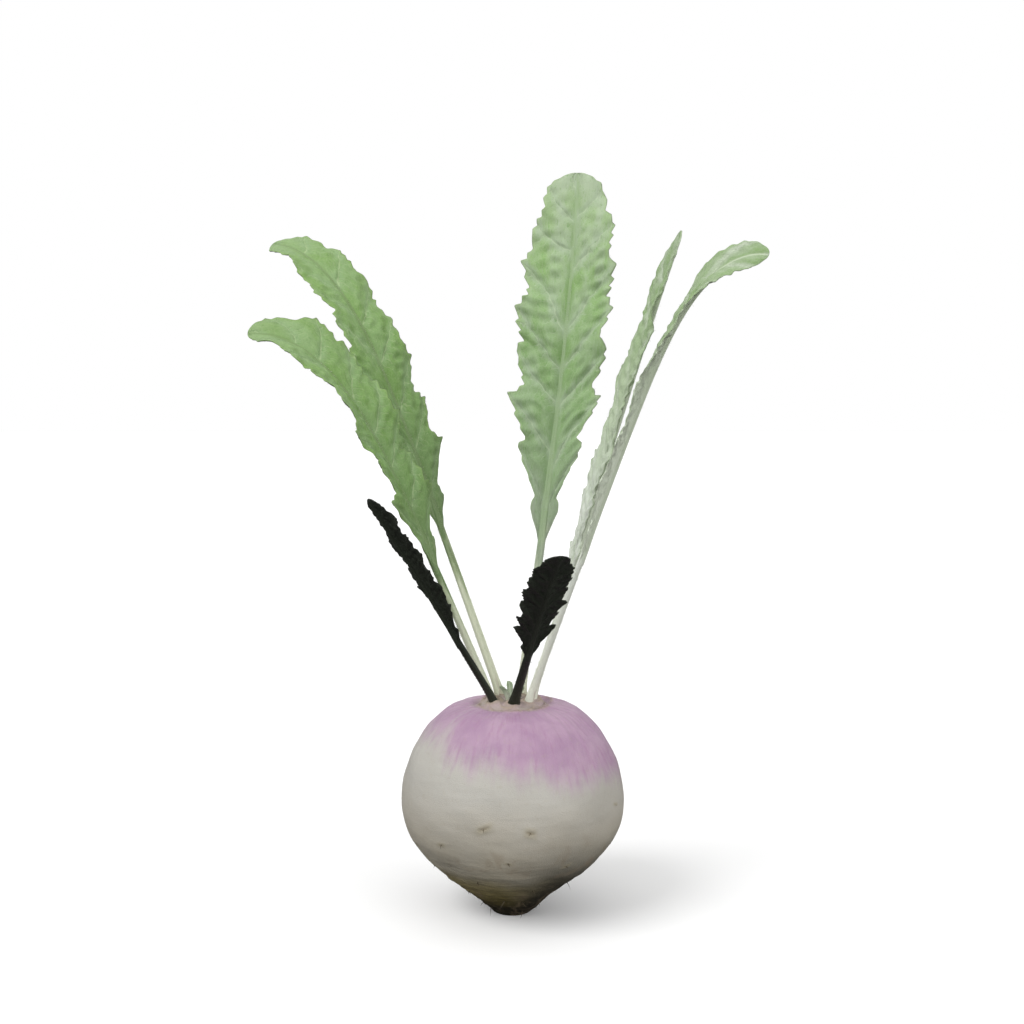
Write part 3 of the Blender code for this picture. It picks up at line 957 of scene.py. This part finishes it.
def root_material(groups):
    made, tree, shader = new_material("turnip_skin", 0.42)
    place = spot(tree)
    height = attribute(tree, "height")
    crown = attribute(tree, "crown")
    streak_way = direction(tree, "streak")
    mottle = use_group(tree, groups["mottle"], Vector=place, Scale=0.09)
    cells = use_group(tree, groups["cells"], Vector=place, Scale=1.5)
    fine_streaks = noise(tree, streak_way, 0.75, 3.0, 0.6)
    broad_streaks = noise(tree, streak_way, 0.16, 3.0, 0.55)

    # Cream flesh, greyer and then brown towards the tip, and darker down to nearly black at the
    # tip itself: the grey and brown are partly the skin's own colour and partly painted shade
    # under the root, and the near black at the tip is painted shade. Soiled olive low on one
    # side; low on the other side, away from the light, nearly black again as painted shade.
    level = math_node(tree, "MULTIPLY_ADD", noise(tree, place, 0.07, 5.0), 0.24, -0.12)
    level = math_node(tree, "MULTIPLY_ADD", height, MM / CROWN_HEIGHT, level)
    cream = colour_ramp(tree, level, (
        (0.0, (0.010, 0.009, 0.005)), (0.05, (0.022, 0.019, 0.011)),
        (0.11, (0.10, 0.086, 0.046)), (0.19, (0.37, 0.325, 0.215)), (0.29, (0.46, 0.42, 0.335)),
        (0.50, (0.46, 0.43, 0.37)), (0.70, (0.455, 0.44, 0.40)),
    ))
    soil_and_shade_side = attribute(tree, "soil_and_shade_side")
    soil = math_node(tree, "MULTIPLY", soil_and_shade_side, between(tree, height, 34.0, 14.0))
    soil = math_node(tree, "MULTIPLY", between(tree, soil, 0.45, 1.0), 0.65)
    cream = blend(tree, soil, cream, (0.26, 0.205, 0.065))
    # Painted shade: low down on the side away from the light, the skin goes nearly black.
    shaded = math_node(tree, "MULTIPLY", between(tree, soil_and_shade_side, 0.90, 0.52),
                       between(tree, height, 43.0, 13.0))
    cream = blend(tree, math_node(tree, "MULTIPLY", shaded, 0.95), cream, (0.028, 0.025, 0.017))
    # Painted shade under the root: from 12.5 mm above the flat spot the skin darkens to nearly
    # black by 3 mm.
    tip_shade = math_node(tree, "MULTIPLY", between(tree, height, 12.5, 3.0), 0.95)
    cream = blend(tree, tip_shade, cream, (0.014, 0.012, 0.007))
    stain = between(tree, noise(tree, place, 0.11, 5.0, 0.6, 0.6), 0.52, 0.70)
    low = between(tree, height, 46.0, 26.0)
    stain = math_node(tree, "MULTIPLY", math_node(tree, "MULTIPLY", stain, low), 0.45)
    colour = blend(tree, stain, cream, (0.28, 0.21, 0.14))

    # The purple: ragged along its lower edge, drawn down in streaks, deeper in patches.
    ragged = math_node(tree, "MULTIPLY_ADD", broad_streaks, 16.0, -8.0)
    ragged = math_node(tree, "MULTIPLY_ADD", fine_streaks, 7.0, ragged)
    purple = math_node(tree, "ADD", attribute(tree, "purple"), ragged)
    purple = between(tree, purple, -1.0, 13.0)
    deep = blend(tree, mottle["Patches"], (0.425, 0.275, 0.39), (0.36, 0.215, 0.34))
    deep = blend(tree, between(tree, fine_streaks, 0.5, 0.75, 0.0, 0.5), deep, (0.32, 0.15, 0.28))
    colour = blend(tree, math_node(tree, "MULTIPLY", purple, 0.92), colour, deep)

    # The crown: tan and greenish round the stalks, with corky leaf scars.
    worn = math_node(tree, "ADD", crown, math_node(tree, "MULTIPLY_ADD", broad_streaks, 0.8, -0.4))
    worn = between(tree, worn, 0.05, 0.95, 0.0, 0.8)
    tan = blend(tree, mottle["Patches"], (0.39, 0.32, 0.30), (0.34, 0.32, 0.24))
    colour = blend(tree, worn, colour, tan)
    ridge = attribute(tree, "ridge")
    colour = blend(tree, math_node(tree, "MULTIPLY", ridge, 0.6), colour, (0.33, 0.26, 0.17))

    # Scars, pores and the trimmed end.
    colour = blend(tree, math_node(tree, "MULTIPLY", attribute(tree, "patch"), 0.55), colour,
                   (0.36, 0.32, 0.225))
    colour = blend(tree, math_node(tree, "MULTIPLY", attribute(tree, "scar"), 0.5), colour,
                   (0.22, 0.17, 0.10))
    flecks = math_node(tree, "MULTIPLY", mottle["Flecks"], 0.16)
    colour = blend(tree, flecks, colour, (0.36, 0.31, 0.22))
    cut = attribute(tree, "cut")
    colour = blend(tree, between(tree, cut, 0.02, 0.2), colour, (0.46, 0.41, 0.29))
    connect(tree, colour, shader.inputs["Base Color"])

    rough = math_node(tree, "MULTIPLY_ADD", mottle["Patches"], 0.10, 0.36)
    rough = math_node(tree, "MULTIPLY_ADD", between(tree, height, 30.0, 8.0), 0.35, rough)
    connect(tree, math_node(tree, "MULTIPLY_ADD", crown, 0.2, rough), shader.inputs["Roughness"])
    set_specular(shader, ROOT_SPECULAR)
    relief = math_node(tree, "MULTIPLY_ADD", cells["Height"], 0.22,
                       math_node(tree, "MULTIPLY", fine_streaks, 0.5))
    bump(tree, shader, relief, 0.14 * MM)
    return made


def hair_material(name, low, high):
    made, tree, shader = new_material(name, 0.4)
    tone = noise(tree, spot(tree), 0.5, 1.0)
    connect(tree, blend(tree, tone, low, high), shader.inputs["Base Color"])
    return made


def fibre_material():
    made, tree, shader = new_material("root_fibres", 0.7)
    tone = noise(tree, spot(tree), 0.3, 2.0)
    connect(tree, blend(tree, between(tree, tone, 0.35, 0.65), (0.030, 0.024, 0.015),
                        (0.10, 0.08, 0.05)), shader.inputs["Base Color"])
    set_specular(shader, ROOT_SPECULAR)
    return made


# The studio

SKY_STRENGTH = 0.8
FLOOR_HALF = 6.0
FLOOR_LIT = (0.13, 0.13, 0.125)
FLOOR_SEEN = (0.96, 0.96, 0.96)
VIEW_ANGLE = 40.0
CAMERA_PLACE = (0.0, -0.5318, 0.2014)
CAMERA_PITCH = 5.0


def add_floor():
    """A pale floor. Seen straight it is white, and it throws little light back up."""
    bm = bmesh.new()
    bmesh.ops.create_grid(bm, x_segments=1, y_segments=1, size=FLOOR_HALF)
    mesh = bpy.data.meshes.new("floor")
    bm.to_mesh(mesh)
    bm.free()
    floor = bpy.data.objects.new("floor", mesh)
    bpy.context.scene.collection.objects.link(floor)
    made, tree, shader = new_material("floor_white", 1.0)
    seen = tree.nodes.new("ShaderNodeLightPath").outputs["Is Camera Ray"]
    connect(tree, blend(tree, seen, FLOOR_LIT, FLOOR_SEEN), shader.inputs["Base Color"])
    set_specular(shader, 0.0)
    mesh.materials.append(made)


def add_sun(name, way, spread, strength):
    """A window's soft light, which travels along way and comes from spread degrees of sky."""
    data = bpy.data.lights.new(name, "SUN")
    data.angle = math.radians(spread)
    data.energy = strength
    lamp = bpy.data.objects.new(name, data)
    bpy.context.scene.collection.objects.link(lamp)
    lamp.rotation_euler = Vector(way).to_track_quat("-Z", "Y").to_euler()


def add_camera():
    """A camera at the photograph's angle, pitched a little down."""
    data = bpy.data.cameras.new("camera")
    data.sensor_width = 36.0
    data.lens = 0.5 * data.sensor_width / math.tan(math.radians(VIEW_ANGLE / 2))
    camera = bpy.data.objects.new("camera", data)
    bpy.context.scene.collection.objects.link(camera)
    camera.location = CAMERA_PLACE
    camera.rotation_euler = (math.radians(90 - CAMERA_PITCH), 0.0, 0.0)
    bpy.context.scene.camera = camera


def light_studio():
    """An even sky, white where the camera sees it, with two soft windows from the front."""
    world = bpy.data.worlds.new("studio")
    world.use_nodes = True
    tree = world.node_tree
    background = tree.nodes["Background"]
    background.inputs["Color"].default_value = (1.0, 1.0, 1.0, 1.0)
    seen = tree.nodes.new("ShaderNodeLightPath").outputs["Is Camera Ray"]
    strength = math_node(tree, "MULTIPLY_ADD", seen, 1.0 - SKY_STRENGTH, SKY_STRENGTH)
    connect(tree, strength, background.inputs["Strength"])
    bpy.context.scene.world = world
    add_sun("window", (0.8, 0.6, -0.9), 36, 1.6)
    add_sun("far_window", (-0.75, 0.65, -0.25), 45, 1.2)
    bpy.context.scene.view_settings.view_transform = "Standard"


def main():
    groups = {"mottle": mottle_group(), "cells": cells_group(), "veins": veins_group()}
    root = root_material(groups)
    make_root(root)
    make_fibres(fibre_material())
    skins = {
        kind: leaf_material(f"leaf_{kind}_skin", tints, groups) for kind, tints in TINTS.items()
    }
    pale_hairs = hair_material("leaf_hairs", (0.50, 0.56, 0.40), (0.64, 0.68, 0.54))
    # The front leaves' hairs are nearly black too: painted shade.
    dark_hairs = hair_material("dark_hairs", (0.02, 0.025, 0.015), (0.035, 0.04, 0.028))
    for seed, leaf in enumerate(LEAVES, start=1):
        kind = LEAF_KINDS[leaf.name]
        piece = make_leaf(leaf, seed, skins[kind])
        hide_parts(leaf.name)
        count, hair = (DARK_LEAF_HAIRS, dark_hairs) if kind == "dark" else (HAIRS, pale_hairs)
        hairs = make_hairs(leaf, piece, count, seed)
        add_piece(hairs, leaf.name + "_hairs", hair)
    for seed, leaf in enumerate(BUDS, start=11):
        piece = make_leaf(leaf, seed, skins["right"])
        hairs = make_hairs(leaf, piece, BUD_HAIRS, seed)
        add_piece(hairs, leaf.name + "_hairs", pale_hairs)
    add_floor()
    light_studio()
    add_camera()


main()
